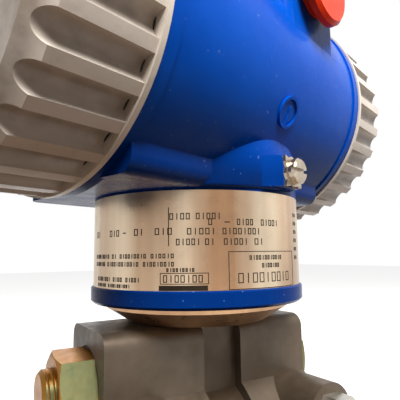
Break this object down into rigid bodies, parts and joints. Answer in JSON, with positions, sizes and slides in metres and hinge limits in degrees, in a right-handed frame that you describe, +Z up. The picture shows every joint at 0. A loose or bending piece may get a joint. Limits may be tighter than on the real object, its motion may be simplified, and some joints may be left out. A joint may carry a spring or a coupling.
{
  "type": "differential pressure transmitter",
  "caption": "Field pressure transmitter: swivelling housing with screwed fluted covers and capped conduit hubs on a bolted pressure cell with a manifold foot.",
  "frame": {"origin": "centre of the manifold bolt pattern on the underside of the process covers", "axes": "+Z up along the neck, X along the bolts that clamp the covers, -Y towards the vent screws and the earth screw"},
  "size_m": [0.163, 0.1219, 0.2096],
  "materials": {
    "gasket": "smooth",
    "cap_plastic": "moulded",
    "plated_bolt": "yellow passivated plating",
    "screw_steel": "bright",
    "plate_steel": "bright rolled",
    "diaphragm_steel": "polished",
    "fitting_steel": "turned",
    "cover_paint": "gloss paint",
    "seal_rubber": "matt",
    "module_resin": "potted",
    "housing_paint": "gloss paint",
    "cover_steel": "cast, lightly oxidised",
    "cell_steel": "machined",
    "collar_steel": "turned",
    "block_plastic": "moulded",
    "terminal_brass": "turned"
  },
  "bodies": {
    "pressure_cell": {"cell_gasket_high": "gasket", "cell_gasket_low": "gasket", "cover_bolt_bottom": "plated_bolt", "cover_bolt_far": "plated_bolt", "cover_bolt_near": "plated_bolt", "cover_bolt_top": "plated_bolt", "cover_nut_bottom": "plated_bolt", "cover_nut_far": "plated_bolt", "cover_nut_near": "plated_bolt", "cover_nut_top": "plated_bolt", "diaphragm_high": "diaphragm_steel", "diaphragm_low": "diaphragm_steel", "drain_plug_high": "fitting_steel", "drain_plug_low": "fitting_steel", "neck_seal": "seal_rubber", "process_cover_high": "cover_steel", "process_cover_low": "cover_steel", "sensor_cell": "cell_steel", "sensor_collar": "collar_steel", "sensor_header": "cell_steel", "vent_plug_high": "fitting_steel", "vent_plug_low": "fitting_steel"},
    "topworks": {"cover_lock_screw_electronics": "screw_steel", "cover_lock_screw_terminal": "screw_steel", "data_plate": "plate_steel", "earth_screw": "screw_steel", "earth_washer": "screw_steel", "electronics_module": "module_resin", "housing": "housing_paint", "module_screw_left": "screw_steel", "module_screw_right": "screw_steel", "terminal_block": "block_plastic", "terminal_screw_first": "terminal_brass", "terminal_screw_second": "terminal_brass", "terminal_screw_third": "terminal_brass"},
    "electronics_cover_travel": {"electronics_cover_seal": "seal_rubber"},
    "electronics_cover_turn": {"electronics_cover": "cover_paint"},
    "terminal_cover_travel": {"terminal_cover_seal": "seal_rubber"},
    "terminal_cover_turn": {"terminal_cover": "cover_paint"},
    "near_cap": {"conduit_cap_near": "cap_plastic"},
    "far_cap": {"conduit_cap_far": "cap_plastic"},
    "high_vent": {"vent_screw_high": "fitting_steel"},
    "low_vent": {"vent_screw_low": "fitting_steel"}
  },
  "joints": [
    {"name": "topworks_swivel", "type": "hinge", "parent": "pressure_cell", "child": "topworks", "pos_m": [0, 0, 0.097], "axis": [0, 0, 1], "range_deg": [-180, 180]},
    {"name": "electronics_cover_slide", "type": "slide", "parent": "topworks", "child": "electronics_cover_travel", "axis": [-0.9511, -0.309, 0], "range_m": [0, 0.0141]},
    {"name": "electronics_cover_screw", "type": "hinge", "parent": "electronics_cover_travel", "child": "electronics_cover_turn", "pos_m": [0, 0, 0.167], "axis": [-0.9511, -0.309, 0], "range_deg": [0, 2520]},
    {"name": "terminal_cover_slide", "type": "slide", "parent": "topworks", "child": "terminal_cover_travel", "axis": [0.9511, 0.309, 0], "range_m": [0, 0.0141]},
    {"name": "terminal_cover_screw", "type": "hinge", "parent": "terminal_cover_travel", "child": "terminal_cover_turn", "pos_m": [0, 0, 0.167], "axis": [0.9511, 0.309, 0], "range_deg": [0, 2520]},
    {"name": "near_cap_pull", "type": "slide", "parent": "topworks", "child": "near_cap", "axis": [0.309, -0.9511, 0], "range_m": [0, 0.025]},
    {"name": "far_cap_pull", "type": "slide", "parent": "topworks", "child": "far_cap", "axis": [-0.309, 0.9511, 0], "range_m": [0, 0.025]},
    {"name": "high_vent_turn", "type": "hinge", "parent": "pressure_cell", "child": "high_vent", "pos_m": [0.024, -0.04, 0.0665], "axis": [0, -1, 0], "range_deg": [0, 720]},
    {"name": "low_vent_turn", "type": "hinge", "parent": "pressure_cell", "child": "low_vent", "pos_m": [-0.024, -0.04, 0.0665], "axis": [0, -1, 0], "range_deg": [0, 720]}
  ],
  "couplings": [
    {"joint": "electronics_cover_slide", "follows": "electronics_cover_screw", "m_per_rad": 0.00031831},
    {"joint": "terminal_cover_slide", "follows": "terminal_cover_screw", "m_per_rad": 0.00031831}
  ]
}
